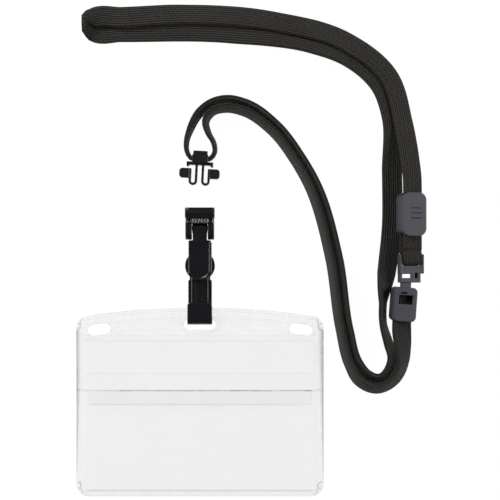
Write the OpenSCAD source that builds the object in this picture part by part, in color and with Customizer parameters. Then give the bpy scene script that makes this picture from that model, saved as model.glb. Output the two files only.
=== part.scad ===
// Lanyard badge holder, laid flat: a clear soft card case, a J-hook clip with a
// thumb lever, a socket, and a detached plug on a neck strap with an adjuster
// and a breakaway buckle. +Z is up from the surface that everything lies on.
// The origin is on that surface, under the middle of the case and its clip.

/* [Case] */
// Width of the clear case
case_w = 100.4; // [90:0.1:120]
// Height of the clear case at its middle
case_h = 76.8; // [70:0.1:95]
// How far the top edge drops from its middle to its ends
arch_drop = 3.4; // [2:0.1:5]
// Radius of the case's corners
corner_r = 5; // [3:0.5:7]
// Thickness of each vinyl sheet
sheet_t = 0.5; // [0.3:0.05:0.7]
// Room for the card between the back and front sheets
card_gap = 0.9; // [0.6:0.1:1.4]
// Width of the welded border at the sides and the bottom
border_w = 3.2; // [2.5:0.1:5]
// Height of the slotted header above the pocket
header_h = 13.4; // [12.5:0.1:17]
// Distance from the bottom edge to the lower front sheet's free edge
mouth_y = 43.2; // [36:0.1:48]
// How far the upper front sheet reaches below that edge
mouth_lap = 6; // [3:0.5:9]
// Height of the moulded beads
bead_h = 0.3; // [0.1:0.05:0.4]
// Width of the moulded beads
bead_w = 0.9; // [0.5:0.1:1.2]

/* [Case slots] */
// Length of the middle slot
slot_l = 13; // [12:0.1:15]
// Height of the middle slot
slot_h = 4.3; // [4:0.1:4.8]
// Distance from the top edge to the middle slot's upper edge
slot_drop = 4.8; // [4:0.1:5.2]
// Length of each side slot
side_slot_l = 9.4; // [8:0.1:11]
// Height of each side slot
side_slot_h = 4.4; // [4:0.1:4.8]
// Distance from the middle to the centre of each side slot
side_slot_x = 40.9; // [34:0.1:41]
// Width of the flat bead round the middle slot
slot_rim = 1.6; // [0.8:0.1:1.8]

/* [Hook] */
// Width of the hook's lip
hook_w = 9.9; // [9:0.1:10.5]
// Thickness of the hook's back plate and lip
hook_t = 1.6; // [1.2:0.1:1.9]
// Gap between the back plate and the lip
hook_gap = 3.2; // [3:0.1:3.4]
// Height of the lip above the bend's centre
lip_h = 5.6; // [5.5:0.1:6]
// Radius of the round thumb pad behind the lever
pad_r = 6; // [5:0.1:7]
// Thickness of the thumb pad
pad_t = 2.4; // [2:0.1:2.6]
// Length from the bend's lowest point to the swivel pin
hook_l = 39; // [38:0.5:46]
// Clearance between the case and the hook's back plate
rest_gap = 0.1; // [0.1:0.05:0.2]

/* [Lever] */
// Width of the thumb lever
lever_w = 8.9; // [8.4:0.1:9.6]
// Width of the tongue that closes the hook
tongue_w = 6.7; // [5:0.1:7.4]
// Thickness of the lever's plate
lever_t = 1.2; // [1:0.1:1.4]
// Distance from the swivel pin down to the lever's pin
lever_drop = 6.4; // [6.2:0.1:7]
// Radius of the lever's pin
lever_pin_r = 0.75; // [0.6:0.05:0.8]

/* [Socket] */
// Width of the cap that the plug enters
cap_w = 11.9; // [11.5:0.1:14]
// Height of the cap band
cap_h = 4.2; // [3.5:0.1:5]
// Thickness of the cap, front to back
cap_t = 7; // [6.8:0.1:8]
// Wall of the socket
socket_wall = 1; // [0.8:0.1:1.2]
// Length of the cheeks below the swivel pin
cheek_l = 4.7; // [4.2:0.1:4.9]
// Radius of the swivel pin
swivel_pin_r = 0.8; // [0.6:0.05:0.9]
// Radius of the knuckle round the swivel pin
knuckle_r = 1.9; // [1.7:0.1:2]

/* [Plug] */
// Width of the plug's body
plug_w = 6.3; // [5.6:0.1:7]
// Depth of the plug's body along the strap's crossing
plug_d = 3.8; // [3.6:0.1:5]
// Width of the plug's flange
flange_w = 10.6; // [9.6:0.1:11.2]
// Length of the spring legs below the flange
leg_l = 8.6; // [8:0.1:10]
// Thickness of a spring leg
leg_t = 0.85; // [0.6:0.05:0.9]
// Span over both thumb wings
wing_span = 16.2; // [15:0.1:18]
// Height of a thumb wing
wing_h = 3.8; // [3:0.1:4.2]

/* [Strap] */
// Width of the flat braided strap
strap_w = 8; // [6:0.1:8.4]
// Thickness of the strap
strap_t = 2; // [1.6:0.1:2.2]

/* [Adjuster and buckle] */
// Width of the adjuster
adj_w = 10; // [9.8:0.1:12]
// Length of the adjuster
adj_l = 17.4; // [14:0.1:18.5]
// Thickness of the adjuster
adj_t = 8; // [7.8:0.1:9]
// Width of the buckle's upper half
upper_w = 10.2; // [10:0.1:12]
// Width of the buckle's lower half
lower_w = 9.2; // [9.1:0.1:11]
// Length of the buckle's lower half
lower_l = 13.6; // [12:0.1:15]
// Thickness of the buckle
buckle_t = 7.2; // [7:0.1:8]
// Radius of the bar that the strap folds round
bar_r = 0.8; // [0.6:0.05:0.9]

/* [Clearances] */
// Running clearance round a pin or between sliding faces
run_gap = 0.1; // [0.08:0.01:0.15]
// Clearance round the strap inside a channel
strap_gap = 0.2; // [0.15:0.05:0.3]
// Clearance round the bunched strap inside the plug
plug_gap = 0.35; // [0.2:0.05:0.5]

/* [Hidden] */
$fn = 48;
eps = 0.01;

// Places on the surface, from the origin
bend_low_y = 11.4;
plug_pos = [0.2, 78.6];
plug_turn = -3;
adj_y = 55.9;
strap_x = 85.4;
fold_y = 38;
lower_pos = [82.2, 19.6];
lower_turn = -4;
roll = 15.5;
lower_roll = 12;

// Case: its slot hangs in the hook's bend, and it leans on the hook's back plate,
// so it tips about its bottom edge
arch_r = (pow(case_w / 2 - corner_r, 2) + arch_drop * arch_drop) / (2 * arch_drop);
slot_y = case_h - slot_drop - slot_h / 2;
hang_rise = 2;
case_bottom_y = bend_low_y + hang_rise - (slot_y + slot_h / 2);
case_tip = asin((hook_t + rest_gap) / (slot_y + slot_h / 2));
pocket_y = case_h - header_h;
side_slot_drop = arch_r - sqrt(arch_r * arch_r - side_slot_x * side_slot_x);
side_slot_y = slot_y - side_slot_drop + 0.8;
side_slot_turn = asin(side_slot_x / arch_r);
slit = 0.05;

// Hook and lever
bend_r = hook_t + hook_gap / 2;
bend_y = bend_low_y + bend_r;
plate_w = hook_w - 0.4;
swivel_y = bend_low_y + hook_l;
swivel_z = cap_t / 2;
lever_pin_y = swivel_y - lever_drop;
lever_pin_z = 4.5;
lever_top_z = cap_t + 0.1;
paddle_y = bend_low_y + 17.8;
tongue_tip_y = bend_y + lip_h - 1.6;
tongue_t = 1.1;
tongue_z = hook_t + hook_gap - 0.15 - tongue_t;
neck_w = 5.6;
lug_w = 6.2;
ear_t = (lever_w - lug_w) / 2 - run_gap;

// Socket
cap_top_y = swivel_y + 8.2;
cap_low_y = cap_top_y - cap_h;
cavity_w = cap_w - 2 * socket_wall - 0.1;
cavity_y = swivel_y + knuckle_r + run_gap + 0.6;
cheek_in = neck_w / 2 + 0.5;
cheek_out = cap_w / 2 - 0.2;

// Plug
leg_in = 1.3;
leg_out = 3.8;
hair_r = (leg_out - leg_in) / 2;
hair_y = -plug_d / 2 - leg_l + hair_r;
wing_low_y = -plug_d / 2 - 2.4 - wing_h;
channel_d = strap_t + 2 * plug_gap;

// Adjuster and buckle, each leaning on the strap beside it
function lie_z(w, t, a) = w / 2 * sin(a) + t / 2 * cos(a);
adj_z = lie_z(adj_w, adj_t, roll);
front_z = 1.4;
rear_z = front_z - strap_t - 2 * bar_r - 2 * run_gap;
channel_w = strap_w + 2 * strap_gap;
lower_z = lie_z(lower_w, buckle_t, lower_roll);
prong_w = 4;
lower_channel_z = 0.4;
bar_z = front_z - strap_t / 2 - run_gap - bar_r;

// Route of the short run: plug, inside of the loop, round the bottom, buckle.
// Each point is x, y, roll of the strap about its own line, lift, share of width.
SHORT_ROUTE = [
    [0.2, 78.6, 90, 0.8, 0.68], [4.1, 78.4, 90, 0.8, 0.68], [6, 81, 88, 0.6, 0.75],
    [5.7, 84.6, 85, 0.3, 0.9], [3.4, 89, 82, 0, 1], [2.4, 93.6, 80, 0, 1],
    [4.9, 97.3, 79, 0, 1], [10.3, 98.9, 77, 0, 1], [17, 97.8, 76, 0, 1],
    [28.4, 90.4, 75, 0, 1], [38.3, 78, 73, 0, 1], [43, 69.9, 73, 0, 1],
    [52.6, 38.7, 73, 0, 1], [57, 9.1, 73, 0, 1], [60.5, -4.7, 70, 0, 1],
    [64.6, -11.6, 65, 0, 1], [71.7, -14.5, 63, 0, 1], [78.4, -11.4, 62, 0, 1],
    [82.1, -4, 57, 0, 1], [82.1, 1.6, 40, 1.3, 1], [81.57, 9.4, 12, 3.06, 1],
    [82.63, 24.6, 12, 3.06, 1]];

// Route of the long run: plug, outside of the loop, round the bottom, up and
// along the neck, back on top of itself, through the adjuster to the buckle.
LONG_ROUTE = [
    [0.2, 78.6, 90, 0.8, 0.68], [-3.7, 78.8, 90, 0.8, 0.68], [-5.3, 81.8, 88, 0.6, 0.75],
    [-5.3, 85.6, 85, 0.3, 0.9], [-3.8, 90.4, 80, 0, 1], [-0.4, 96.6, 76, 0, 1],
    [4.6, 100.8, 78, 0, 1], [10.8, 102.3, 77, 0, 1], [18.5, 100.7, 76, 0, 1],
    [30.9, 92, 75, 0, 1], [41.4, 78, 73, 0, 1], [46.1, 69.9, 73, 0, 1],
    [55.8, 38.7, 73, 0, 1], [60.2, 9.1, 73, 0, 1], [63.8, -4, 70, 0, 1],
    [67.4, -8.9, 65, 0, 1], [71.9, -10.8, 63, 0, 1], [78, -3, 63, 0, 1],
    [76.2, 4.2, 68, 0, 1], [74.2, 11.5, 75, 0, 1], [74.1, 20, 73, 0, 1],
    [75.6, 32, 28, 0, 1], [77.7, 48, 9, 0, 1],
    [77.9, 74, 14, 0, 1], [77.2, 94, 40, 0, 1], [72.6, 107.3, 42, 0, 1],
    [59.5, 119.3, 36, 0, 1], [45.4, 124.8, 28, 0, 1], [14, 129.4, 8, 0, 1],
    [-32, 130.1, 5, 0, 1], [-43, 130.1, 12, 0, 1], [-46.2, 132.8, 82, 0, 1],
    [-43, 135.4, 0, 2.3, 1], [-32, 135.8, -8, 1.4, 1], [-6.5, 137, -15, 0.4, 1], [31.3, 133.9, -15, 0.4, 1], [60, 125.4, -18, 0.8, 1],
    [76.4, 111.9, -20, 0.8, 1], [82.3, 93, -22, 1, 1], [84.7, 79, -21, 3, 1],
    [85.7, 70.5, -15.5, 4.25, 1], [85.77, 66, -15.5, 4.51, 1], [85.77, 41.5, -15.5, 4.51, 1]];
ring_step = 14;

// Colours
clear_vinyl = [0.86, 0.89, 0.93, 0.45];
gloss_black = [0.05, 0.05, 0.06];
slate = [0.28, 0.27, 0.31];
braid = [0.2, 0.19, 0.18];
steel = [0.7, 0.7, 0.72];

// ---- outlines ----
function arc(c, r, a0, a1, n) =
    [for (i = [0:n]) let (a = a0 + (a1 - a0) * i / n) [c[0] + r * cos(a), c[1] + r * sin(a)]];

// Rounded rectangle from corner p to corner q
function round_box(p, q, r) = concat(
    arc([q[0] - r, p[1] + r], r, -90, 0, 6), arc([q[0] - r, q[1] - r], r, 0, 90, 6),
    arc([p[0] + r, q[1] - r], r, 90, 180, 6), arc([p[0] + r, p[1] + r], r, 180, 270, 6));

// The case's outline, moved inward by d
function case_line(d) = let (
    hw = case_w / 2 - d, r = corner_r - d, top = case_h - d, big = arch_r - d,
    cy = top - big, cx = hw - r, corner_y = cy + sqrt(pow(big - r, 2) - cx * cx),
    a = atan2(corner_y - cy, cx)) concat(
    arc([cx, d + r], r, -90, 0, 8), arc([cx, corner_y], r, 0, a, 8),
    arc([0, cy], big, a, 180 - a, 24), arc([-cx, corner_y], r, 180 - a, 180, 8),
    arc([-cx, d + r], r, 180, 270, 8));

module stadium(l, h, t) {
    cube([l - h, h, t], center = true);
    for (s = [-1, 1]) translate([s * (l - h) / 2, 0, 0]) cylinder(d = h, h = t, center = true);
}

module case_slots(grow) {
    deep = 6;
    translate([0, slot_y, 0]) stadium(slot_l + 2 * grow, slot_h + 2 * grow, deep);
    for (s = [-1, 1]) translate([s * side_slot_x, side_slot_y, 0])
        rotate([0, 0, -s * side_slot_turn])
            stadium(side_slot_l + 2 * grow, side_slot_h + 2 * grow, deep);
}

module place_case() translate([0, case_bottom_y, 0]) rotate([case_tip, 0, 0]) children();

module case_plate(z, t, inset = 0) translate([0, 0, z]) linear_extrude(t) polygon(case_line(inset));

// The pocket's inside, shrunk by d
module pocket(z, t, d = 0) translate([0, 0, z]) linear_extrude(t) polygon(round_box(
    [-case_w / 2 + border_w + d, border_w - 1.4 + d], [case_w / 2 - border_w - d, pocket_y - d], 2.4));

// Everything between two heights on the case
module band(y0, y1) translate([-case_w, y0, -1]) cube([2 * case_w, y1 - y0, 8]);

module case_back_sheet() color(clear_vinyl) place_case() difference() {
    case_plate(0, sheet_t);
    case_slots(0);
}

// The roof of the pocket with its side walls, standing on the border
module front_sheet(roof_z, wall_in) {
    difference() {
        union() {
            case_plate(sheet_t, sheet_t);
            difference() {
                case_plate(2 * sheet_t, bead_h);
                case_plate(sheet_t, 1, bead_w);
            }
            pocket(sheet_t, roof_z, -sheet_t);
        }
        pocket(0, roof_z, wall_in);
    }
}

module case_front_upper() color(clear_vinyl) place_case() {
    difference() {
        union() {
            intersection() {
                front_sheet(sheet_t + card_gap, 0);
                band(mouth_y + slit, case_h + 1);
            }
            intersection() {
                translate([0, 0, 2 * sheet_t]) case_plate(0, bead_h);
                case_slots(slot_rim);
                band(pocket_y + 0.6, case_h + 1);
            }
        }
        case_slots(0);
    }
    intersection() {
        pocket(sheet_t + card_gap, sheet_t, 0.4);
        band(mouth_y - mouth_lap, mouth_y + 1);
    }
}

module case_front_lower() color(clear_vinyl) place_case() {
    intersection() {
        front_sheet(2 * sheet_t + card_gap + slit, 0);
        band(-1, mouth_y);
    }
}

// ---- clip ----
module across(p, r, l) translate([0, p[0], p[1]]) rotate([0, 90, 0])
    cylinder(r = r, h = l, center = true);

module slab(w, y0, y1, z0, z1) translate([-w / 2, y0, z0]) cube([w, y1 - y0, z1 - z0]);

// Side outline of a round-cornered box from y = low to y = high, t in from both faces
module bend_side(low, high, t, r) intersection() {
    union() {
        translate([low, t + r]) square([high - low, 2 * (bend_r - t - r)]);
        translate([low + r, t]) square([high - low, 2 * (bend_r - t)]);
        for (z = [t + r, 2 * bend_r - t - r]) translate([low + r, z]) circle(r);
    }
    translate([low, 0]) square([high - low, 2 * bend_r]);
}

module hook_body() color(gloss_black) difference() {
    union() {
        // back plate, thumb pad, block, neck and knuckle
        slab(plate_w, bend_y, paddle_y, 0, hook_t);
        slab(plate_w - 1.2, paddle_y, lever_pin_y + 1.4, 0, pad_t);
        translate([0, paddle_y + 5.9, 0]) cylinder(r = pad_r, h = pad_t);
        slab(lug_w, lever_pin_y - 1.6, lever_pin_y + 1.4, 0, lever_pin_z + 1.2);
        slab(neck_w, lever_pin_y, swivel_y, swivel_z - 1.7, swivel_z + 1.7);
        across([swivel_y, swivel_z], knuckle_r, neck_w + 0.4);
        // the bend and the lip
        translate([-hook_w / 2, 0, 0]) rotate([90, 0, 90]) linear_extrude(hook_w) difference() {
            bend_side(bend_low_y, bend_y, 0, 2.4);
            bend_side(bend_low_y + hook_t, bend_y + 1, hook_t, 0.6);
        }
        translate([0, bend_y, hook_t + hook_gap]) linear_extrude(hook_t) union() {
            translate([-hook_w / 2, 0]) square([hook_w, lip_h - 1.3]);
            translate([-hook_w / 2 + 1.3, 0]) square([hook_w - 2.6, lip_h]);
            for (s = [-1, 1]) translate([s * (hook_w / 2 - 1.3), lip_h - 1.3]) circle(1.3);
        }
    }
    across([swivel_y, swivel_z], swivel_pin_r + run_gap, neck_w + 2);
    across([lever_pin_y, lever_pin_z], lever_pin_r + eps, lever_w);
}

module lever() color(gloss_black) difference() {
    union() {
        // thumb plate with a round lower end
        slab(lever_w, paddle_y + 4, lever_pin_y + 1.3, lever_top_z - lever_t, lever_top_z);
        intersection() {
            translate([0, paddle_y + 5, lever_top_z - lever_t]) cylinder(r = 5, h = lever_t);
            slab(lever_w, paddle_y - 1, paddle_y + 5, 0, lever_top_z);
        }
        // ears on the pin
        for (s = [-1, 1]) translate([s * (lever_w - ear_t) / 2, 0, 0]) {
            across([lever_pin_y, lever_pin_z], 1.3, ear_t);
            slab(ear_t, lever_pin_y - 1.3, lever_pin_y + 1.3, lever_pin_z, lever_top_z - lever_t);
        }
        // web and tongue
        slab(tongue_w, paddle_y + 0.6, paddle_y + 2.2, tongue_z, lever_top_z - lever_t);
        slab(tongue_w, tongue_tip_y, paddle_y + 2.2, tongue_z, tongue_z + tongue_t);
    }
    across([lever_pin_y, lever_pin_z], lever_pin_r + run_gap, lever_w + 1);
}

module lever_pin() color(steel) across([lever_pin_y, lever_pin_z], lever_pin_r, lever_w);

// A bent leaf: it stands on the thumb pad and bears up under the lever
module lever_spring() color(steel) translate([-1.25, 0, 0]) rotate([90, 0, 90])
    linear_extrude(2.5) polygon([
        [paddle_y + 4.4, pad_t], [lever_pin_y - 1.7, pad_t],
        [lever_pin_y - 1.7, pad_t + 0.3], [paddle_y + 5, pad_t + 0.3],
        [paddle_y + 8.6, pad_t + 2.5], [paddle_y + 8.2, pad_t + 2.7]]);

// ---- socket ----
module socket_shell() color(gloss_black) difference() {
    union() {
        translate([0, cap_low_y, 0]) rotate([90, 0, 0]) mirror([0, 0, 1]) linear_extrude(cap_h)
            polygon(round_box([-cap_w / 2, 0], [cap_w / 2, cap_t], 1.6));
        translate([0, cavity_y - 0.6, 0]) rotate([90, 0, 0]) mirror([0, 0, 1])
            linear_extrude(cap_low_y - cavity_y + 0.6 + eps)
                polygon(round_box([-cheek_out, 0.5], [cheek_out, cap_t - 0.5], 1.3));
        for (s = [-1, 1]) translate([s * (cheek_in + cheek_out) / 2, 0, 0]) {
            slab(cheek_out - cheek_in, swivel_y - cheek_l + 2.6, cavity_y - 0.6, 0.9, cap_t - 0.9);
            across([swivel_y - cheek_l + 2.6, swivel_z], 2.6, cheek_out - cheek_in);
        }
    }
    // mouth for the plug's legs
    slab(cavity_w, cavity_y, cap_top_y + 1, socket_wall, cap_t - socket_wall);
    // side windows where the wings lock, and the two front windows
    slab(cap_w + 2, cavity_y, cap_low_y - 0.1, 1.7, cap_t - 1.7);
    for (s = [-1, 1]) translate([s * 4.35, 0, 0])
        slab(1.5, cavity_y + 0.1, cap_low_y - 0.1, cap_t / 2, cap_t + 1);
    across([swivel_y, swivel_z], swivel_pin_r + eps, cap_w + 2);
}

module swivel_pin() color(steel) across([swivel_y, swivel_z], swivel_pin_r, 2 * cheek_out);

// ---- plug ----
module place_plug() translate([plug_pos[0], plug_pos[1], 0]) rotate([0, 0, plug_turn]) children();

module plug_body() color(gloss_black) place_plug() {
    difference() {
        union() {
            slab(plug_w, -plug_d / 2, channel_d / 2, 0, cap_t);
            slab(flange_w, -plug_d / 2 - 0.9, -plug_d / 2 + 0.3, 0.8, cap_t - 0.8);
            for (s = [-1, 1]) translate([s * (flange_w / 2 - 0.45), 0, 0])
                slab(0.9, -plug_d / 2 - 1.5, -plug_d / 2, 0.8, cap_t - 0.8);
        }
        slab(plug_w + 2, -channel_d / 2, channel_d, 0.6, cap_t - 0.6);
    }
    // inner legs down to the two hairpins
    for (s = [-1, 1]) {
        translate([s * leg_in, 0, 0]) slab(leg_t, hair_y, -plug_d / 2 - 0.5, 1.6, cap_t - 1.6);
        translate([s * (leg_in + hair_r), hair_y, 1.6]) linear_extrude(cap_t - 3.2)
            intersection() {
                difference() {
                    circle(hair_r + leg_t / 2);
                    circle(hair_r - leg_t / 2);
                }
                translate([-3, -3]) square([6, 3]);
            }
    }
}

// The strip that closes the strap's channel
module plug_cap() color(gloss_black) place_plug()
    slab(plug_w - 0.7, channel_d / 2, channel_d / 2 + 1.5, 0.3, cap_t - 0.3);

module wing(s) color(gloss_black) place_plug() {
    leg_top = wing_low_y + wing_h;
    translate([s * leg_out, 0, 0]) slab(leg_t, hair_y + run_gap, leg_top, 1.6, cap_t - 1.6);
    translate([s * (leg_out + leg_t / 2), wing_low_y, 1]) linear_extrude(cap_t - 2)
        scale([s, 1]) union() {
            l = wing_span / 2 - leg_out - leg_t / 2;
            square([l - 1.2, wing_h]);
            translate([0, 1.2]) square([l, wing_h - 2.4]);
            for (y = [1.2, wing_h - 1.2]) translate([l - 1.2, y]) circle(1.2);
        }
}
module plug_wing_left() wing(-1);
module plug_wing_right() wing(1);

// ---- adjuster ----
module place_adjuster() translate([strap_x, adj_y, adj_z]) rotate([0, roll, 0]) children();

module adjuster_half(z0, z1) difference() {
    translate([0, 0, z0]) linear_extrude(z1 - z0)
        polygon(round_box([-adj_w / 2, -adj_l / 2], [adj_w / 2, adj_l / 2], 3));
    slab(channel_w, -adj_l, adj_l, rear_z - strap_t / 2 - strap_gap,
         front_z + strap_t / 2 + strap_gap);
    across([0, bar_z], bar_r + eps, adj_w - 0.8);
}

module adjuster_front_cover() color(slate) place_adjuster() difference() {
    adjuster_half(0, adj_t / 2);
    for (i = [-1:1]) translate([0.5, 0.4 + i * 2, adj_t / 2 - 0.25]) slab(5, -0.25, 0.25, 0, 1);
}
module adjuster_back_cover() color(slate) place_adjuster() adjuster_half(-adj_t / 2, 0);
module adjuster_bar() color(slate) place_adjuster()
    across([0, bar_z], bar_r, adj_w - 0.8);

// ---- breakaway buckle ----
module place_upper() translate([strap_x, fold_y, adj_z]) rotate([0, roll, 0]) children();
module place_lower() translate([lower_pos[0], lower_pos[1], lower_z])
    rotate([0, 0, lower_turn]) rotate([0, lower_roll, 0]) children();

module buckle_upper_frame() color(slate) place_upper() difference() {
    union() {
        for (s = [-1, 1]) translate([s * (upper_w / 2 - 0.4), 0, 0])
            slab(0.8, -6, 1.7, bar_z - 1.6, bar_z + 1.6);
        slab(upper_w, -5.6, -2.9, bar_z - 1.3, bar_z + 1.3);
        translate([-0.7, 0, 0]) slab(upper_w - 1.4, -9.6, -5.6, bar_z - 1.3, bar_z + 1.3);
        // prong that the lower half grips
        translate([-2.2, 0, 0]) slab(prong_w, -12.2, -9, bar_z - 0.9, bar_z + 0.9);
    }
    translate([-2, 0, 0]) slab(4.4, -7.9, -6.1, -9, 9);
    translate([1.9, 0, 0]) slab(1.5, -8, -5.8, bar_z, 9);
    across([0, bar_z], bar_r + eps, upper_w - 0.8);
}
module buckle_upper_bar() color(slate) place_upper() across([0, bar_z], bar_r, upper_w - 0.8);

module lower_outline(z0, z1, y0, y1) intersection() {
    translate([0, 0, z0]) linear_extrude(z1 - z0)
        polygon(round_box([-lower_w / 2, -lower_l / 2], [lower_w / 2, lower_l / 2], 1.8));
    slab(lower_w + 1, y0, y1, z0, z1);
}

// Open at both ends, so that the half can slide past the strap's end
module lower_channel() slab(channel_w, -lower_l, lower_l,
    lower_channel_z - strap_t / 2 - strap_gap, lower_channel_z + strap_t / 2 + strap_gap);

module prong_pocket() translate([0.3, 0, 0])
    slab(prong_w + 2, lower_l / 2 - 1.8, lower_l, -1.6, 2.7);

module buckle_lower_base() color(slate) place_lower() difference() {
    lower_outline(-buckle_t / 2, lower_channel_z, -lower_l / 2, lower_l / 2);
    lower_channel();
    prong_pocket();
    translate([-0.9, 0, 0]) slab(3, lower_l / 2 - 2.6, lower_l / 2 - 1.9, -9, 9);
}
module buckle_lower_cover() color(slate) place_lower() difference() {
    lower_outline(lower_channel_z, buckle_t / 2, -lower_l / 2, lower_l / 2);
    lower_channel();
    // window over the strap's end, and the thin slot above it
    slab(6.2, lower_l / 2 - 6.8, lower_l / 2 - 3, 0, 9);
    translate([-0.9, 0, 0]) slab(3, lower_l / 2 - 2.6, lower_l / 2 - 1.9, -9, 9);
    prong_pocket();
}

// ---- strap ----
// Height of the strap's middle when it lies or stands on the surface, plus its lift
function line_z(p) = strap_w * p[4] / 2 * abs(sin(p[2])) + strap_t / 2 * abs(cos(p[2])) + p[3];
function spots(route) = [for (p = route) [p[0], p[1]]];
function unit(v) = v / norm(v);

// Direction at point i: the two neighbouring spans, the shorter one counts more
function heading(s, i) = i == 0 ? unit(s[1] - s[0]) : i == len(s) - 1 ? unit(s[i] - s[i - 1]) :
    let (a = s[i] - s[i - 1], b = s[i + 1] - s[i]) unit(a / pow(norm(a), 2) + b / pow(norm(b), 2));

function on_span(p, q, dp, dq, u) = let (l = norm(q - p), u2 = u * u, u3 = u2 * u)
    (2 * u3 - 3 * u2 + 1) * p + (u3 - 2 * u2 + u) * l * dp
    + (3 * u2 - 2 * u3) * q + (u3 - u2) * l * dq;
function along_span(p, q, dp, dq, u) = let (l = norm(q - p), u2 = u * u) unit(
    (6 * u2 - 6 * u) / l * p + (3 * u2 - 4 * u + 1) * dp
    + (6 * u - 6 * u2) / l * q + (3 * u2 - 2 * u) * dq);

// Eight corners of the flat braid, on a unit width and thickness
SECTION = [[-1, -0.45], [-0.78, -1], [0.78, -1], [1, -0.45],
           [1, 0.45], [0.78, 1], [-0.78, 1], [-1, 0.45]];

// One ring: across is level and to the left of the way the strap runs
function ring(c, z, d, turn, width) = let (
    across_x = -d[1], across_y = d[0],
    w = [cos(turn) * across_x, cos(turn) * across_y, sin(turn)],
    n = [-sin(turn) * across_x, -sin(turn) * across_y, cos(turn)])
    [for (e = SECTION) [c[0], c[1], z] + e[0] * width / 2 * w + e[1] * strap_t / 2 * n];

function rings(route) = let (s = spots(route), h = [for (i = [0:len(s) - 1]) heading(s, i)]) [
    for (i = [0:len(s) - 2])
        let (last = i == len(s) - 2, n = max(1, round(norm(s[i + 1] - s[i]) / ring_step)))
            for (k = [0:last ? n : n - 1]) let (u = k / n, mix = (1 - u) * route[i] + u * route[i + 1])
                ring(on_span(s[i], s[i + 1], h[i], h[i + 1], u), line_z(mix),
                     along_span(s[i], s[i + 1], h[i], h[i + 1], u), mix[2], strap_w * mix[4])];

module sweep(route) {
    r = rings(route);
    n = len(r);
    m = len(SECTION);
    polyhedron(
        points = [for (a = r) for (p = a) p],
        faces = concat(
            [[for (j = [0:m - 1]) j]],
            [for (i = [0:n - 2]) for (j = [0:m - 1]) let (k = (j + 1) % m, a = i * m, b = a + m)
                each [[a + j, b + j, b + k], [a + j, b + k, a + k]]],
            [[for (j = [m - 1:-1:0]) (n - 1) * m + j]]));
}

module strap_short_run() color(braid) sweep(SHORT_ROUTE);
module strap_long_run() color(braid) sweep(LONG_ROUTE);

// The strap's end: over the buckle's bar, back behind itself into the adjuster
module strap_tail() color(braid) place_upper() translate([-strap_w / 2, 0, 0])
    rotate([90, 0, 90]) linear_extrude(strap_w) difference() {
        union() {
            translate([0, bar_z]) circle(bar_r + run_gap + strap_t);
            translate([0, front_z - strap_t / 2]) square([41.5 - fold_y, strap_t]);
            translate([0, rear_z - strap_t / 2]) square([adj_y - fold_y - 2, strap_t]);
        }
        translate([0, bar_z]) circle(bar_r + run_gap);
        translate([0, bar_z - bar_r - run_gap]) square([30, 2 * (bar_r + run_gap)]);
    }

case_back_sheet();
case_front_upper();
case_front_lower();
hook_body();
lever();
lever_pin();
lever_spring();
socket_shell();
swivel_pin();
plug_body();
plug_cap();
plug_wing_left();
plug_wing_right();
adjuster_front_cover();
adjuster_back_cover();
adjuster_bar();
buckle_upper_frame();
buckle_upper_bar();
buckle_lower_base();
buckle_lower_cover();
strap_short_run();
strap_long_run();
strap_tail();
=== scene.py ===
# %% [markdown]
# A lanyard badge holder: a clear soft card case, a glossy hook clip, and a
# detached plug on a long flat braid with an adjuster and a breakaway buckle.
# The engineering model is loaded first and stays where it is. It fixes every
# size and place, and this script only makes the finer shapes and the finishes.

# %% Load the frame
import math

import bmesh
import bpy
import numpy as np
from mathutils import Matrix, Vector, noise
from mathutils.geometry import tessellate_polygon


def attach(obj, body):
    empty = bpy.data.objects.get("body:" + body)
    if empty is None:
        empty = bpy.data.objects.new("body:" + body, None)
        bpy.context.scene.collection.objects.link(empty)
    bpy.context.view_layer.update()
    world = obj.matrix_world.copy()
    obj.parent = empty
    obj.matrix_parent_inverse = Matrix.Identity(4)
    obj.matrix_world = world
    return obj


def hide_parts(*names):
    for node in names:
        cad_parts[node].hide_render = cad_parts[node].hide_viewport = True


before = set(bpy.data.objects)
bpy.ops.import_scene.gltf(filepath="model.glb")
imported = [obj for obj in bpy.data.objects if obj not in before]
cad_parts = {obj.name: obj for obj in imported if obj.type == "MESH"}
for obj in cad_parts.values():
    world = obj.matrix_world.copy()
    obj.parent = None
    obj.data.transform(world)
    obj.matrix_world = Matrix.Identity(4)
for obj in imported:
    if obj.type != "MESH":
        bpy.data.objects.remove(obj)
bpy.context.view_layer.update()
MM = 0.001

# %% [markdown]
# The camera comes first, because a cord may not spread far outside its view.
# It looks straight down, with +Y up in the picture. A long lens from most of a
# metre away keeps upright edges from leaning outward.

# %% Camera
LENS, SENSOR = 120, 36
VIEW_CENTRE = (20.3, 41.5)
VIEW_WIDTH = 202.6
eye_height = VIEW_WIDTH * LENS / SENSOR + 3
camera = bpy.data.objects.new("camera", bpy.data.cameras.new("camera"))
camera.data.lens, camera.data.sensor_width = LENS, SENSOR
camera.location = Vector((*VIEW_CENTRE, eye_height)) * MM
bpy.context.scene.collection.objects.link(camera)
bpy.context.scene.camera = camera
print("camera height", round(eye_height), "mm")

# %% [markdown]
# A finish is a small network of nodes. Written out one link at a time it is hard
# to read, so a wrapper round a socket lets the maths be plain Python: + and *
# add Math nodes, and every other node comes from one method, `add`.

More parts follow.
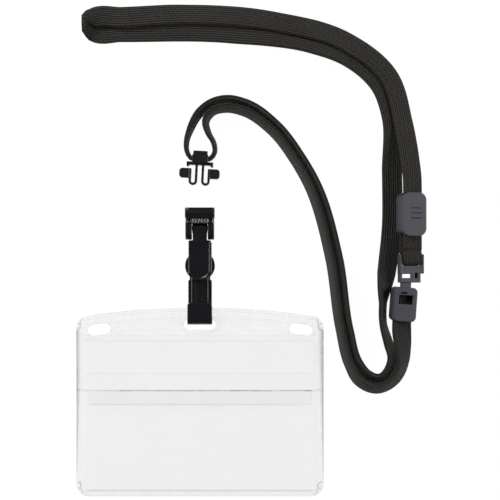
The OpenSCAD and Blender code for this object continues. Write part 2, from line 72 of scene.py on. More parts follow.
# %% A socket that can be calculated with
class Wire:
    def __init__(self, tree, socket=None):
        self.tree, self.socket = tree, socket

    def add(self, kind, settings=None, sockets=None, out=0):
        node = self.tree.nodes.new("ShaderNode" + kind)
        for key, value in (settings or {}).items():
            setattr(node, key, value)
        for key, value in (sockets or {}).items():
            if isinstance(value, Wire):
                self.tree.links.new(value.socket, node.inputs[key])
            else:
                node.inputs[key].default_value = value
        return Wire(self.tree, node.outputs[out])

    def maths(self, operation, *others):
        return self.add("Math", {"operation": operation}, dict(enumerate((self, *others))))

    def __add__(self, other):
        return self.maths("ADD", other)

    def __sub__(self, other):
        return self.maths("SUBTRACT", other)

    def __rsub__(self, other):
        return self.add("Math", {"operation": "SUBTRACT"}, {0: other, 1: self})

    def __mul__(self, other):
        return self.maths("MULTIPLY", other)

    def __truediv__(self, other):
        return self.maths("DIVIDE", other)

    def __pow__(self, other):
        return self.maths("POWER", other)

    __radd__, __rmul__ = __add__, __mul__

    def mix(self, low, high):
        """low where this value is 0 and high where it is 1: colours."""
        return self.add("Mix", {"data_type": "RGBA"},
                        {"Factor": self, 6: low, 7: high}, out=2)

    def finish(self, shader):
        """Feeds shader to the material's output."""
        output = self.tree.nodes.new("ShaderNodeOutputMaterial")
        self.tree.links.new(shader.socket, output.inputs["Surface"])


def new_material(name):
    material = bpy.data.materials.new(name)
    material.use_nodes = True
    material.node_tree.nodes.clear()
    return material, Wire(material.node_tree)


def rgb(*values):
    return (*values, 1.0)


# %% [markdown]
# The strap is a flat tube of braid. Its face shows about ten columns of small
# stitches, and each column slants the other way from its neighbours, which
# gives the knitted look. The mesh carries a map in millimetres, across and
# along, so the columns run with the strap wherever it turns. The stitches give
# the relief, and the dark gaps between them are painted shade in the base colour.

# %% Braid finish
STITCH_ACROSS, STITCH_ALONG = 0.9, 0.85
braid, b = new_material("braid")
place = b.add("SeparateXYZ", sockets={0: b.add("UVMap", {"uv_map": "Braid"})})
across = Wire(b.tree, place.socket) / STITCH_ACROSS
along = Wire(b.tree, place.socket.node.outputs[1]) / STITCH_ALONG
column = across.maths("FLOOR")
inside = across - column - 0.5
slant = (column.maths("FLOORED_MODULO", 2) * 2 - 1) * inside
round_across = 1 - inside * inside * 3.2
phase = along + slant * 0.7 + column * 0.5
round_along = (phase * math.pi).maths("SINE").maths("ABSOLUTE")
stitch = round_across * round_along ** 0.6
fuzz = b.add("TexNoise", sockets={"Vector": b.add("TexCoord", out=3), "Scale": 2600.0, "Detail": 2.0})
patch = b.add("TexNoise", sockets={"Vector": b.add("TexCoord", out=3), "Scale": 45.0})
# the stitch mask paints shade into the gaps between stitches; fuzz and patch add random tone
gap_shade_and_tone = (stitch - 0.38) * 1.4 + (fuzz - 0.5) * 0.5 + (patch - 0.5) * 0.3
bump = b.add("Bump", sockets={"Strength": 1.0, "Distance": 0.4 * MM, "Height": stitch + fuzz * 0.15})
b.finish(b.add("BsdfPrincipled", sockets={
    "Base Color": gap_shade_and_tone.mix(rgb(0.001, 0.0009, 0.0008), rgb(0.058, 0.051, 0.042)),
    "Roughness": 0.85 - stitch * 0.2, "Specular IOR Level": 0.3,
    "Normal": bump}))
print("braid stitches", STITCH_ACROSS, "x", STITCH_ALONG, "mm")

# %% [markdown]
# The strap's route is a list of given points, the same as in the
# engineering model: x, y, how far the strap rolls about its own line, how far it
# is lifted, and the share of its width that shows. Between two points it runs on
# a smooth cubic, and its height follows from its roll, because its lower edge
# lies on the table.

# %% Strap routes
STRAP_W, STRAP_T = 8, 2
SHORT_ROUTE = [
    [0.2, 78.6, 90, 0.8, 0.68], [4.1, 78.4, 90, 0.8, 0.68], [6, 81, 88, 0.6, 0.75],
    [5.7, 84.6, 85, 0.3, 0.9], [3.4, 89, 82, 0, 1], [2.4, 93.6, 80, 0, 1],
    [4.9, 97.3, 79, 0, 1], [10.3, 98.9, 77, 0, 1], [17, 97.8, 76, 0, 1],
    [28.4, 90.4, 75, 0, 1], [38.3, 78, 73, 0, 1], [43, 69.9, 73, 0, 1],
    [52.6, 38.7, 73, 0, 1], [57, 9.1, 73, 0, 1], [60.5, -4.7, 70, 0, 1],
    [64.6, -11.6, 65, 0, 1], [71.7, -14.5, 63, 0, 1], [78.4, -11.4, 62, 0, 1],
    [82.1, -4, 57, 0, 1], [82.1, 1.6, 40, 1.3, 1], [81.57, 9.4, 12, 3.06, 1],
    [82.63, 24.6, 12, 3.06, 1]]
LONG_ROUTE = [
    [0.2, 78.6, 90, 0.8, 0.68], [-3.7, 78.8, 90, 0.8, 0.68], [-5.3, 81.8, 88, 0.6, 0.75],
    [-5.3, 85.6, 85, 0.3, 0.9], [-3.8, 90.4, 80, 0, 1], [-0.4, 96.6, 76, 0, 1],
    [4.6, 100.8, 78, 0, 1], [10.8, 102.3, 77, 0, 1], [18.5, 100.7, 76, 0, 1],
    [30.9, 92, 75, 0, 1], [41.4, 78, 73, 0, 1], [46.1, 69.9, 73, 0, 1],
    [55.8, 38.7, 73, 0, 1], [60.2, 9.1, 73, 0, 1], [63.8, -4, 70, 0, 1],
    [67.4, -8.9, 65, 0, 1], [71.9, -10.8, 63, 0, 1], [78, -3, 63, 0, 1],
    [76.2, 4.2, 68, 0, 1], [74.2, 11.5, 75, 0, 1], [74.1, 20, 73, 0, 1],
    [75.6, 32, 28, 0, 1], [77.7, 48, 9, 0, 1],
    [77.9, 74, 14, 0, 1], [77.2, 94, 40, 0, 1], [72.6, 107.3, 42, 0, 1],
    [59.5, 119.3, 36, 0, 1], [45.4, 124.8, 28, 0, 1], [14, 129.4, 8, 0, 1],
    [-32, 130.1, 5, 0, 1], [-43, 130.1, 12, 0, 1], [-46.2, 132.8, 82, 0, 1],
    [-43, 135.4, 0, 2.3, 1], [-32, 135.8, -8, 1.4, 1], [-6.5, 137, -15, 0.4, 1],
    [31.3, 133.9, -15, 0.4, 1], [60, 125.4, -18, 0.8, 1],
    [76.4, 111.9, -20, 0.8, 1], [82.3, 93, -22, 1, 1], [84.7, 79, -21, 3, 1],
    [85.7, 70.5, -15.5, 4.25, 1], [85.77, 66, -15.5, 4.51, 1], [85.77, 41.5, -15.5, 4.51, 1]]


def headings(spots):
    """The direction at each spot: of its two spans, the shorter one counts more."""
    span = np.diff(spots, axis=0)
    pull = span / (span ** 2).sum(1)[:, None]
    towards = np.vstack([pull[:1], pull[:-1] + pull[1:], pull[-1:]])
    return towards / np.linalg.norm(towards, axis=1)[:, None]


def follow(route, step):
    """Along the route every step or so: centre, roll in radians, width and heading."""
    route = np.array(route, float)
    spots, head = route[:, :2], headings(route[:, :2])
    out = []
    for i in range(len(route) - 1):
        p, q, dp, dq = spots[i], spots[i + 1], head[i], head[i + 1]
        reach = np.linalg.norm(q - p)
        count = max(1, round(reach / step))
        for k in range(count + (i == len(route) - 2)):
            u = k / count
            xy = ((2 * u**3 - 3 * u**2 + 1) * p + (u**3 - 2 * u**2 + u) * reach * dp
                  + (3 * u**2 - 2 * u**3) * q + (u**3 - u**2) * reach * dq)
            way = ((6 * u**2 - 6 * u) / reach * (p - q) + (3 * u**2 - 4 * u + 1) * dp
                   + (3 * u**2 - 2 * u) * dq)
            roll, lift, share = (1 - u) * route[i, 2:] + u * route[i + 1, 2:]
            roll, width = math.radians(roll), float(STRAP_W * share)
            z = width / 2 * abs(math.sin(roll)) + STRAP_T / 2 * abs(math.cos(roll)) + lift
            out.append((Vector((*xy, z)), roll, width, way / np.linalg.norm(way)))
    return out


for label, route in (("short", SHORT_ROUTE), ("long", LONG_ROUTE)):
    line = [c for c, *_ in follow(route, 1)]
    print(label, "run", round(sum((b - a).length for a, b in zip(line, line[1:]))), "mm")

# %% [markdown]
# The strap's section is a flat oval with full, soft edges: a superellipse.
# One function turns any list of rings into a closed tube, and writes the map
# that the braid finish reads.

# %% Strap mesh
SECTION_POINTS = 28


def soft_oval(width, thick, points=SECTION_POINTS):
    """Points round a flat oval, starting at its right edge."""
    ring = []
    for k in range(points):
        a = 2 * math.pi * k / points
        c, s = math.cos(a), math.sin(a)
        ring.append((width / 2 * math.copysign(abs(c) ** 0.6, c),
                     thick / 2 * math.copysign(abs(s) ** 0.5, s)))
    return ring


def running_girth(section):
    """The distance round a closed section, from its first point to each next one."""
    girth = [0.0]
    for j, point in enumerate(section):
        girth.append(girth[-1] + math.dist(point, section[(j + 1) % len(section)]))
    return girth


def link(name, mesh):
    piece = bpy.data.objects.new(name, mesh)
    bpy.context.scene.collection.objects.link(piece)
    return piece


def tube(name, rings, distances, girths):
    """A closed tube through rings of points in millimetres, with the map Braid."""
    n, m = len(rings), len(rings[0])
    points = [Vector(p) * MM for ring in rings for p in ring]
    faces = [(i * m + j, (i + 1) * m + j, (i + 1) * m + (j + 1) % m, i * m + (j + 1) % m)
             for i in range(n - 1) for j in range(m)]
    caps = [tuple(range(m)), tuple((n - 1) * m + j for j in reversed(range(m)))]
    mesh = bpy.data.meshes.new(name)
    mesh.from_pydata(points, [], faces + caps)
    uv = mesh.uv_layers.new(name="Braid").data
    corner = 0
    for i in range(n - 1):
        for j in range(m):
            for di, dj in ((0, 0), (1, 0), (1, 1), (0, 1)):
                uv[corner].uv = (girths[j + dj], distances[i + di])
                corner += 1
    mesh.shade_smooth()
    mesh.update()
    return link(name, mesh)


GRIPPED, SWELL_IN = 14, 10


def strap(name, route, held=GRIPPED, step=1.4):
    """The braid along a route, whose last held millimetres run inside a fitting."""
    spots = follow(route, step)
    flat = soft_oval(STRAP_W, STRAP_T)
    oval = [(x / STRAP_W, y / STRAP_T) for x, y in flat]
    rings, far = [], [0.0]
    for i, (centre, roll, width, way) in enumerate(spots):
        level = Vector((-way[1], way[0], 0))
        w = math.cos(roll) * level + Vector((0, 0, math.sin(roll)))
        n = -math.sin(roll) * level + Vector((0, 0, math.cos(roll)))
        # soft braid swells a little where no channel holds it, more here and less there
        loose = min(i * step - GRIPPED, (len(spots) - 1 - i) * step - held)
        free = min(max(loose / SWELL_IN, 0), 1)
        swell = 0.985 + free * (0.06 + 0.02 * noise.noise(centre * 0.11))
        rings.append([centre + x * width * swell * w + y * STRAP_T * (0.96 + 0.18 * free) * n
                      for x, y in oval])
        if i:
            far.append(far[-1] + (centre - spots[i - 1][0]).length)
    piece = tube(name, rings, far, running_girth(flat))
    print(name, round(far[-1]), "mm,", len(rings), "rings")
    return piece, [tuple(c * MM) for c, *_ in spots]


def dress(piece, material, body, slot, *nodes):
    """Gives a piece its finish, the body it rides on and the parts it stands for."""
    piece.data.materials.clear()
    piece.data.materials.append(material)
    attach(piece, body)
    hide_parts(*nodes)
    return piece


short_strap, short_path = strap("braid_short_run", SHORT_ROUTE)
dress(short_strap, braid, "lanyard", "braid", "strap_short_run")
ADJUSTER_REACH = 30
long_strap, long_path = strap("braid_long_run", LONG_ROUTE, ADJUSTER_REACH)
dress(long_strap, braid, "lanyard", "braid", "strap_long_run")

# %% [markdown]
# At the buckle the strap folds round a bar and comes back behind itself into the
# adjuster. In the plane of the fold it is a hairpin: a straight stretch, half a
# turn, and a longer straight stretch below.

# %% Folded end
ROLL = math.radians(15.5)
STRAP_X, ADJUSTER_Y, FOLD_Y, PIECE_Z = 85.4, 55.9, 38, 5.19
FRONT_Z, BAR_R, RUN_GAP = 1.4, 0.8, 0.1
fold_r = BAR_R + RUN_GAP + STRAP_T / 2
bar_z = FRONT_Z - STRAP_T / 2 - RUN_GAP - BAR_R
hairpin = [(4.2 - t, FRONT_Z) for t in np.linspace(0, 4.1, 4)]
hairpin += [(-fold_r * math.sin(a), bar_z + fold_r * math.cos(a))
            for a in np.linspace(0, math.pi, 17)]
hairpin += [(t, bar_z - fold_r) for t in np.linspace(0.8, ADJUSTER_Y - FOLD_Y - 2, 14)]


def lean(x, y, z):
    """A point of the adjuster's own space, put where the adjuster leans."""
    return (STRAP_X + x * math.cos(ROLL) + z * math.sin(ROLL), FOLD_Y + y,
            PIECE_Z - x * math.sin(ROLL) + z * math.cos(ROLL))


rings, far = [], [0.0]
for i, (y, z) in enumerate(hairpin):
    before, after = hairpin[max(i - 1, 0)], hairpin[min(i + 1, len(hairpin) - 1)]
    dy, dz = after[0] - before[0], after[1] - before[1]
    run = math.hypot(dy, dz)
    out_y, out_z = dz / run, -dy / run
    rings.append([lean(u, y - v * out_y, z - v * out_z)
                  for u, v in soft_oval(STRAP_W * (0.95 if i < 2 else 1.02),
                                       STRAP_T * (0.85 if i < 2 else 1.0))])
    if i:
        far.append(far[-1] + math.dist(hairpin[i], hairpin[i - 1]))
fold_girth = running_girth(soft_oval(STRAP_W, STRAP_T))
fold = dress(tube("braid_fold", rings, far, fold_girth), braid, "lanyard", "braid", "strap_tail")
print("folded end", round(far[-1], 1), "mm")

# %% [markdown]
# Both runs begin inside the plug and end in the buckle. Together they are
# about 0.84 m long, and the folded end comes on top.

# %% [markdown]
# The clip and the plug are polished black plastic, and the adjuster and buckle
# are matte dark slate. Moulded plastic is never a perfect mirror: its polish
# varies slowly, and a matte part shows the fine grain of its spark-eroded mould.

# %% Moulded plastics
def moulded_plastic(name, dark, light, rough, grain, relief, coat=0.0):
    material, m = new_material(name)
    here = m.add("TexCoord", out=3)
    slow = m.add("TexNoise", sockets={"Vector": here, "Scale": 170.0, "Detail": 3.0})
    fine = m.add("TexNoise", sockets={"Vector": here, "Scale": grain, "Detail": 2.0})
    m.finish(m.add("BsdfPrincipled", sockets={
        "Base Color": slow.mix(rgb(*dark), rgb(*light)),
        "Roughness": slow * 0.12 + fine * 0.06 + rough,
        "Coat Weight": coat, "Coat Roughness": 0.05,
        "Normal": m.add("Bump", sockets={"Strength": 0.35, "Distance": relief * MM,
                                         "Height": fine + slow * 0.4})}))
    return material


clip_black = moulded_plastic("clip_black", (0.003, 0.0025, 0.0035), (0.007, 0.006, 0.008),
                             0.16, 900.0, 0.02)
plug_black = moulded_plastic("plug_black", (0.005, 0.005, 0.006), (0.012, 0.012, 0.014),
                             0.17, 1100.0, 0.02)
slate = moulded_plastic("slate", (0.035, 0.032, 0.042), (0.05, 0.046, 0.058),
                        0.42, 2200.0, 0.05)
steel, m = new_material("spring_steel")
brush = m.add("TexNoise", sockets={"Vector": m.add("TexCoord", out=3), "Scale": 1500.0})
m.finish(m.add("BsdfPrincipled", sockets={
    "Base Color": brush.mix(rgb(0.42, 0.42, 0.44), rgb(0.6, 0.6, 0.62)),
    "Metallic": 1.0, "Roughness": brush * 0.15 + 0.22}))
for node in ("lever_pin", "lever_spring", "swivel_pin"):
    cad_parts[node].data.materials.clear()
    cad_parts[node].data.materials.append(steel)
print("finishes", [material.name for material in bpy.data.materials][-4:])

# %% [markdown]
# A moulded part has no knife edges: the mould rounds every one by a few tenths
# of a millimetre, and that is where gloss catches the light. Bevelling a tidy
# hand-made mesh would do it, but these solids have holes and slots that break a
# bevel. A voxel remesh fuses the solid with any added detail into one even skin,
# smoothing softens its edges, and a decimation removes the points it can spare.

# %% Soft-edged copies of the frame's solids
def skin(piece, voxel, soften, keep):
    """Fuses, softens and thins piece's mesh. voxel is in millimetres."""
    steps = [("REMESH", {"mode": "VOXEL", "voxel_size": voxel * MM}),
             ("SMOOTH", {"factor": 0.5, "iterations": soften}),
             ("DISPLACE", {"strength": 0.08 * MM, "mid_level": 0.0}),
             ("DECIMATE", {"ratio": keep})]
    for kind, settings in steps:
        modifier = piece.modifiers.new(kind.lower(), kind)
        for key, value in settings.items():
            setattr(modifier, key, value)
    evaluated = piece.evaluated_get(bpy.context.evaluated_depsgraph_get())
    mesh = bpy.data.meshes.new_from_object(evaluated)
    piece.modifiers.clear()
    piece.data = mesh
    mesh.shade_smooth()
    return piece


def moulded(name, node, material, body, slot, extras=(), voxel=0.16, soften=4, keep=0.35):
    """The solid of a CAD node, with extras fused on, as one soft-edged piece."""
    work = bmesh.new()
    work.from_mesh(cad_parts[node].data)
    for extra in extras:
        work.from_mesh(extra)
    bmesh.ops.remove_doubles(work, verts=work.verts, dist=0.001 * MM)
    mesh = bpy.data.meshes.new(name)
    work.to_mesh(mesh)
    work.free()
    piece = skin(link(name, mesh), voxel, soften, keep)
    print(name, len(piece.data.polygons), "faces")
    return dress(piece, material, body, slot, node)


def block(x0, x1, y0, y1, z0, z1):
    """A plain box as a mesh, in millimetres, to be fused into a larger piece."""
    work = bmesh.new()
    bmesh.ops.create_cube(work, size=1)
    for vert in work.verts:
        u, v, w = vert.co + Vector((0.5, 0.5, 0.5))
        vert.co = Vector((x0 + u * (x1 - x0), y0 + v * (y1 - y0), z0 + w * (z1 - z0))) * MM
    mesh = bpy.data.meshes.new("block")
    work.to_mesh(mesh)
    work.free()
    return mesh


def rim(cx, cy, r0, r1, z0, z1, a0, a1, n=16):
    """Part of a ring as a mesh, from angle a0 to a1 in degrees."""
    corners = [(r0, z0), (r1, z0), (r1, z1), (r0, z1)]
    turns = [math.radians(a0 + (a1 - a0) * k / n) for k in range(n + 1)]
    points = [Vector((cx + r * math.cos(t), cy + r * math.sin(t), z)) * MM
              for t in turns for r, z in corners]
    faces = [(4 * i + j, 4 * i + (j + 1) % 4, 4 * i + 4 + (j + 1) % 4, 4 * i + 4 + j)
             for i in range(n) for j in range(4)]
    mesh = bpy.data.meshes.new("rim")
    mesh.from_pydata(points, [], faces + [(3, 2, 1, 0), tuple(4 * n + j for j in range(4))])
    return mesh


PADDLE_Y, LEVER_TOP, LEVER_W = 29.2, 7.1, 9.6
lever_extras = [rim(0, PADDLE_Y + 5, 4.1, 5, LEVER_TOP - 1.1, LEVER_TOP + 0.3, 200, 340),
                block(LEVER_W / 2 - 0.8, LEVER_W / 2, PADDLE_Y + 3, 44.5, LEVER_TOP - 1, LEVER_TOP + 0.25),
                block(-1.6, 1.2, 18.6, 29, 4.2, 4.8)]
socket_extras = [block(-3.4 + 1.2 * k, -2.8 + 1.2 * k, 52.1, 54.3, 6.2, 6.85) for k in range(6)]
socket_extras += [block(-5.9, 5.9, 54.7 + 0.6 * k, 57.9 - 0.6 * k, 6.5, 7.05 + 0.12 * k)
                  for k in range(3)]
moulded("hook", "hook_body", clip_black, "hook", "clip_plastic", soften=9)
moulded("thumb_lever", "lever", clip_black, "lever", "clip_plastic", lever_extras, soften=9)
moulded("socket", "socket_shell", clip_black, "socket", "clip_plastic", socket_extras, soften=9)
moulded("plug_block", "plug_body", plug_black, "lanyard", "plug_plastic", voxel=0.12)
moulded("plug_strip", "plug_cap", plug_black, "lanyard", "plug_plastic")
for side in ("left", "right"):
    moulded("thumb_wing_" + side, "plug_wing_" + side, plug_black, "wing_" + side,
            "plug_plastic", voxel=0.12)
moulded("adjuster_front", "adjuster_front_cover", slate, "adjuster", "fitting_plastic", voxel=0.12)
moulded("adjuster_back", "adjuster_back_cover", slate, "adjuster", "fitting_plastic")
moulded("adjuster_inner_bar", "adjuster_bar", slate, "adjuster", "fitting_plastic")
moulded("buckle_frame", "buckle_upper_frame", slate, "lanyard", "fitting_plastic", voxel=0.12)
moulded("buckle_fold_bar", "buckle_upper_bar", slate, "lanyard", "fitting_plastic")
moulded("buckle_base", "buckle_lower_base", slate, "buckle_lower", "fitting_plastic", voxel=0.12)
moulded("buckle_cover", "buckle_lower_cover", slate, "buckle_lower", "fitting_plastic", voxel=0.12)

# %% [markdown]
# The case is soft clear vinyl, half a millimetre thick. Face on it is nearly
# invisible and only greys what lies behind it. Seen along its surface, at every
# bead, weld and cut edge, it turns bluish and dark. So the finish mixes a clear
# shader with a glossy one by how steeply the surface is seen. The back sheet is
# the greyer one; the two front sheets are clearer.

# %% Vinyl finish
def vinyl_finish(name, passes, haze):
    """Clear vinyl: the share of light that each face passes, and its least cover."""
    material, v = new_material(name)
    here = v.add("TexCoord", out=3)
    steep = v.add("LayerWeight", sockets={"Blend": 0.5}, out=1)
    cloud = v.add("TexNoise", sockets={"Vector": here, "Scale": 60.0, "Detail": 2.0})
    ripple = v.add("TexNoise", sockets={"Vector": here, "Scale": 110.0, "Detail": 1.0})
    bump = v.add("Bump", sockets={"Strength": 0.25, "Distance": 0.4 * MM, "Height": ripple})
    surface = v.add("BsdfPrincipled", sockets={
        "Base Color": steep.mix(rgb(0.75, 0.75, 0.75), rgb(0.55, 0.66, 0.78)),
        "Roughness": cloud * 0.1 + 0.08, "IOR": 1.5, "Normal": bump})
    clear = v.add("BsdfTransparent", sockets={"Color": rgb(passes, passes, passes)})
    cover = steep ** 2.0 * 0.6 + cloud * 0.015 + haze
    v.finish(v.add("MixShader", sockets={"Fac": cover, 1: clear, 2: surface}))
    print(name, "passes", passes, "of the light at each face")
    return material


back_vinyl = vinyl_finish("clear_vinyl_back", 0.945, 0.025)
front_vinyl = vinyl_finish("clear_vinyl_front", 0.996, 0.005)

# %% [markdown]
# Each sheet is an outline with slots, given thickness. It is cut into cells of
# one to three millimetres, so that it can be bent: a soft sheet is never quite flat.
# The beads, welds and slot rims are rounded ribs pressed into it.

# %% Sheets and ribs
CASE_W, CASE_H, ARCH_DROP, CORNER_R = 100.4, 76.8, 3.4, 5
SHEET_T, CARD_GAP, BORDER_W, HEADER_H = 0.5, 0.9, 3.2, 13.4
MOUTH_Y, MOUTH_LAP = 43.2, 6
CASE_FOOT_Y, CASE_TIP = -58.6, math.radians(1.353)
ARCH_R = ((CASE_W / 2 - CORNER_R) ** 2 + ARCH_DROP ** 2) / (2 * ARCH_DROP)
POCKET_Y = CASE_H - HEADER_H
SLOT_Y = CASE_H - 4.8 - 4.3 / 2
SIDE_X = 40.9
SIDE_Y = SLOT_Y - (ARCH_R - math.sqrt(ARCH_R ** 2 - SIDE_X ** 2)) + 0.8
SIDE_TURN = math.asin(SIDE_X / ARCH_R)


def arc(cx, cy, r, a0, a1, n):
    return [(cx + r * math.cos(math.radians(a0 + (a1 - a0) * k / n)),
             cy + r * math.sin(math.radians(a0 + (a1 - a0) * k / n))) for k in range(n + 1)]


def case_line(d, n=10):
    """The case's outline, moved inward by d."""
    hw, r, big = CASE_W / 2 - d, max(CORNER_R - d, 0.3), ARCH_R - d
    cy, cx = CASE_H - d - big, hw - r
    corner_y = cy + math.sqrt((big - r) ** 2 - cx ** 2)
    a = math.degrees(math.atan2(corner_y - cy, cx))
    return (arc(cx, d + r, r, -90, 0, n) + arc(cx, corner_y, r, 0, a, n)
            + arc(0, cy, big, a, 180 - a, 30) + arc(-cx, corner_y, r, 180 - a, 180, n)
            + arc(-cx, d + r, r, 180, 270, n))


def stadium(cx, cy, length, height, turn=0.0, n=8):
    half = (length - height) / 2
    points = arc(half, 0, height / 2, -90, 90, n) + arc(-half, 0, height / 2, 90, 270, n)
    c, s = math.cos(turn), math.sin(turn)
    return [(cx + x * c - y * s, cy + x * s + y * c) for x, y in points]


def slots(grow=0.0):
    return [stadium(0, SLOT_Y, 13 + 2 * grow, 4.3 + 2 * grow)] + [
        stadium(side * SIDE_X, SIDE_Y, 9.4 + 2 * grow, 4.4 + 2 * grow, -side * SIDE_TURN)
        for side in (-1, 1)]


def case_place(x, y, z):
    """A point of the case's own space, put where the case leans on the hook."""
    return Vector((x, CASE_FOOT_Y + y * math.cos(CASE_TIP) - z * math.sin(CASE_TIP),
                   y * math.sin(CASE_TIP) + z * math.cos(CASE_TIP))) * MM


def plate(work, outline, holes, z0, z1, cell=2.4, bend=None):
    """Adds a sheet to work: outline and holes in plan, from z0 to z1, cut into cells."""
    loops = [outline] + [list(reversed(hole)) for hole in holes]
    flat = [Vector((x, y, 0)) for loop in loops for x, y in loop]
    triangles = tessellate_polygon([[Vector((x, y, 0)) for x, y in loop] for loop in loops])
    part = bmesh.new()
    low = [part.verts.new((p.x, p.y, z0)) for p in flat]
    high = [part.verts.new((p.x, p.y, z1)) for p in flat]
    for a, b, c in triangles:
        part.faces.new((low[c], low[b], low[a]))
        part.faces.new((high[a], high[b], high[c]))
    start = 0
    for loop in loops:
        for k in range(len(loop)):
            i, j = start + k, start + (k + 1) % len(loop)
            part.faces.new((low[i], low[j], high[j], high[i]))
        start += len(loop)
    bmesh.ops.recalc_face_normals(part, faces=part.faces)
    rims = [e for e in part.edges if len(e.link_faces) == 2 and e.calc_face_angle() > 0.9]
    bmesh.ops.bevel(part, geom=rims, offset=0.13, segments=2, affect="EDGES", clamp_overlap=True)
    xs, ys = [p.x for p in flat], [p.y for p in flat]
    for axis, low_end, high_end in ((0, min(xs), max(xs)), (1, min(ys), max(ys))):
        for k in range(1, int((high_end - low_end) / cell)):
            at, normal = [0, 0, 0], [0, 0, 0]
            at[axis], normal[axis] = low_end + k * cell, 1
            bmesh.ops.bisect_plane(part, geom=part.verts[:] + part.edges[:] + part.faces[:],
                                   plane_co=at, plane_no=normal, dist=1e-5)
    for vert in part.verts:
        x, y, z = vert.co
        vert.co = case_place(x, y, z + (bend(x, y) if bend else 0))
    mesh = bpy.data.meshes.new("part")
    part.to_mesh(mesh)
    part.free()
    work.from_mesh(mesh)
    bpy.data.meshes.remove(mesh)


def rib(work, line, width, height, z, closed=True, bend=None):
    """Adds a half-round rib along a line in plan, standing on height z."""
    n = len(line)
    profile = arc(0, 0, 1, 0, 180, 8)
    rings = []
    for i in range(n):
        before = line[(i - 1) % n] if closed or i else line[i]
        after = line[(i + 1) % n] if closed or i < n - 1 else line[i]
        way = Vector((after[0] - before[0], after[1] - before[1])).normalized()
        side = Vector((-way.y, way.x))
        ring = []
        for c, s in profile:
            x, y = line[i][0] + side.x * c * width / 2, line[i][1] + side.y * c * width / 2
            rise = bend(x, y) if bend else 0
            ring.append(work.verts.new(case_place(x, y, z + s * height + rise)))
        rings.append(ring)
    m = len(profile)
    for i in range(n if closed else n - 1):
        a, b = rings[i], rings[(i + 1) % n]
        for j in range(m - 1):
            work.faces.new((a[j], a[j + 1], b[j + 1], b[j]))


def sheet_piece(name, work, node, finish):
    bmesh.ops.recalc_face_normals(work, faces=work.faces)
    mesh = bpy.data.meshes.new(name)
    work.to_mesh(mesh)
    work.free()
    mesh.shade_smooth()
    print(name, len(mesh.polygons), "faces")
    return dress(link(name, mesh), finish, "case", "clear_vinyl", node)

# %% [markdown]
# The back sheet is plain. The front is two sheets: the lower one's free edge
# lies on top, half way up, and the upper one is tucked six millimetres behind
# it, which makes the mouth that the card goes in by. Both rise from the welded
# border over a card's thickness and belly out a little in the middle.

# %% The three sheets
STEP_W, CREASE_Y = 1.7, 50.3
POCKET_X, POCKET_LOW = CASE_W / 2 - BORDER_W + 0.6, 1.6
HALF_W = CASE_W / 2


def ease(t):
    t = min(max(t, 0.0), 1.0)
    return t * t * (3 - 2 * t)


def ripple_at(x, y, size, seed):
    """A slow unevenness of about size millimetres, never downward."""
    return size * (0.5 + 0.5 * noise.noise(Vector((x * 0.06, y * 0.09, seed))))


def belly(rise, seed, crease=0.0):
    """How far a front sheet stands above the border at a point."""
    def bend(x, y):
        into = min(POCKET_X - abs(x), y - POCKET_LOW, POCKET_Y + 0.2 - y)
        inside = ease(into / STEP_W)
        crown = 0.35 * ease(into / 22)
        fold = crease * math.exp(-((y - CREASE_Y) / 0.7) ** 2)
        return inside * (rise + crown + fold + ripple_at(x, y, 0.18, seed))
    return bend


edge = case_line(0)
back = bmesh.new()
plate(back, edge, slots(), 0, SHEET_T, cell=3.2)
sheet_piece("case_back", back, "case_back_sheet", back_vinyl)

upper_belly, lower_belly = belly(CARD_GAP, 1.0, 0.22), belly(CARD_GAP + SHEET_T + 0.1, 3.0)
tuck_x = POCKET_X - STEP_W - 0.4
upper_outline = ([(-tuck_x, MOUTH_Y - MOUTH_LAP), (tuck_x, MOUTH_Y - MOUTH_LAP),
                  (tuck_x, MOUTH_Y + 0.05), (HALF_W, MOUTH_Y + 0.05)]
                 + [p for p in edge if p[1] > MOUTH_Y]
                 + [(-HALF_W, MOUTH_Y + 0.05), (-tuck_x, MOUTH_Y + 0.05)])
TOP = 2 * SHEET_T
upper = bmesh.new()
plate(upper, upper_outline, slots(), SHEET_T, TOP, cell=1.3, bend=upper_belly)
BEAD_IN = 0.95
bead_x = HALF_W - BEAD_IN
bead = case_line(BEAD_IN, 12)
rib(upper, [(bead_x, MOUTH_Y)] + [p for p in bead if p[1] > MOUTH_Y] + [(-bead_x, MOUTH_Y)],
    0.9, 0.34, TOP, closed=False)
ARCH_LINE_IN, ARCH_LINE_TURN, WELD_REACH, WELD_STEP = 4, 0.115, 46.6, 2.2
inner_r = ARCH_R - ARCH_LINE_IN
rib(upper, [(inner_r * math.sin(a), CASE_H - ARCH_R + inner_r * math.cos(a))
            for a in np.linspace(-ARCH_LINE_TURN, ARCH_LINE_TURN, 40)], 0.7, 0.3, TOP, closed=False)
for line_y, width, height in ((POCKET_Y, 0.9, 0.5), (POCKET_Y + WELD_STEP, 0.6, 0.3)):
    rib(upper, [(x, line_y) for x in np.linspace(-WELD_REACH, WELD_REACH, 60)],
        width, height, TOP, closed=False)
for line_y, height in ((CREASE_Y, 0.22), (MOUTH_Y - MOUTH_LAP + 0.6, 0.2)):
    rib(upper, [(x, line_y) for x in np.linspace(-tuck_x + 1, tuck_x - 1, 60)], 0.7, height, TOP,
        closed=False, bend=upper_belly)
for hole in slots(0.8):
    rib(upper, hole, 1.3, 0.36, TOP)
sheet_piece("case_front_top", upper, "case_front_upper", front_vinyl)

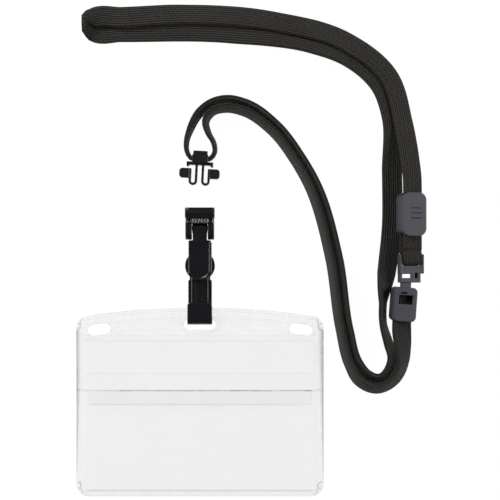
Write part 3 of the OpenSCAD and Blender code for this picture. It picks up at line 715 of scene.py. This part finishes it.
lower_outline = ([p for p in edge if p[1] < MOUTH_Y and p[0] < 0]
                 + [p for p in edge if p[1] < MOUTH_Y and p[0] > 0]
                 + [(HALF_W, MOUTH_Y), (-HALF_W, MOUTH_Y)])
lower = bmesh.new()
plate(lower, lower_outline, [], SHEET_T, TOP, cell=1.3, bend=lower_belly)
low_bead = [p for p in bead if p[1] < MOUTH_Y]
rib(lower, [(-bead_x, MOUTH_Y)] + [p for p in low_bead if p[0] < 0]
    + [p for p in low_bead if p[0] > 0] + [(bead_x, MOUTH_Y)], 0.9, 0.34, TOP, closed=False)
sheet_piece("case_front_bottom", lower, "case_front_lower", front_vinyl)

# %% [markdown]
# The table is plain and white. Like a lit drawing table it glows by itself,
# so hardly any shadow falls on it, and clear vinyl on it stays bright. Straight above, where the flat black faces look, it is dim. One broad
# lamp to the upper left and a weaker one to the right are mirrored by the
# rounded edges.

# %% Table and light
FLOOR, TABLE_Z, WORLD_GLOW = 1.5, -0.06, 0.12
table_mesh = bpy.data.meshes.new("table")
table_mesh.from_pydata([(x, y, TABLE_Z * MM) for x, y in
                        ((-FLOOR, -FLOOR), (FLOOR, -FLOOR), (FLOOR, FLOOR), (-FLOOR, FLOOR))],
                       [], [(0, 1, 2, 3)])
TABLE_GLOW = 0.98
paper, p = new_material("lit_table")
grain = p.add("TexNoise", sockets={"Vector": p.add("TexCoord", out=3), "Scale": 300.0})
p.finish(p.add("BsdfPrincipled", sockets={
    "Base Color": grain.mix(rgb(0.03, 0.03, 0.03), rgb(0.05, 0.05, 0.05)),
    "Roughness": 0.9, "Specular IOR Level": 0.1,
    "Emission Color": rgb(1.0, 1.0, 1.0), "Emission Strength": TABLE_GLOW}))
table = link("table", table_mesh)
table_mesh.materials.append(paper)

world = bpy.data.worlds.new("studio")
world.use_nodes = True
world.node_tree.nodes["Background"].inputs["Color"].default_value = rgb(1.0, 1.0, 1.0)
world.node_tree.nodes["Background"].inputs["Strength"].default_value = WORLD_GLOW
bpy.context.scene.world = world

AIM = Vector((0.02, 0.04, 0))


def soft_lamp(name, place, size, watts):
    lamp = bpy.data.objects.new(name, bpy.data.lights.new(name, "AREA"))
    lamp.data.shape, lamp.data.size, lamp.data.energy = "DISK", size, watts
    lamp.location = place
    lamp.rotation_euler = (AIM - Vector(place)).to_track_quat("-Z", "Y").to_euler()
    bpy.context.scene.collection.objects.link(lamp)


soft_lamp("key", (-0.4, 0.6, 0.5), 0.45, 7.0)
soft_lamp("left", (-0.75, -0.05, 0.35), 0.35, 3.0)
soft_lamp("right", (0.8, 0.1, 0.35), 0.4, 5.0)
bpy.context.scene.view_settings.view_transform = "Standard"
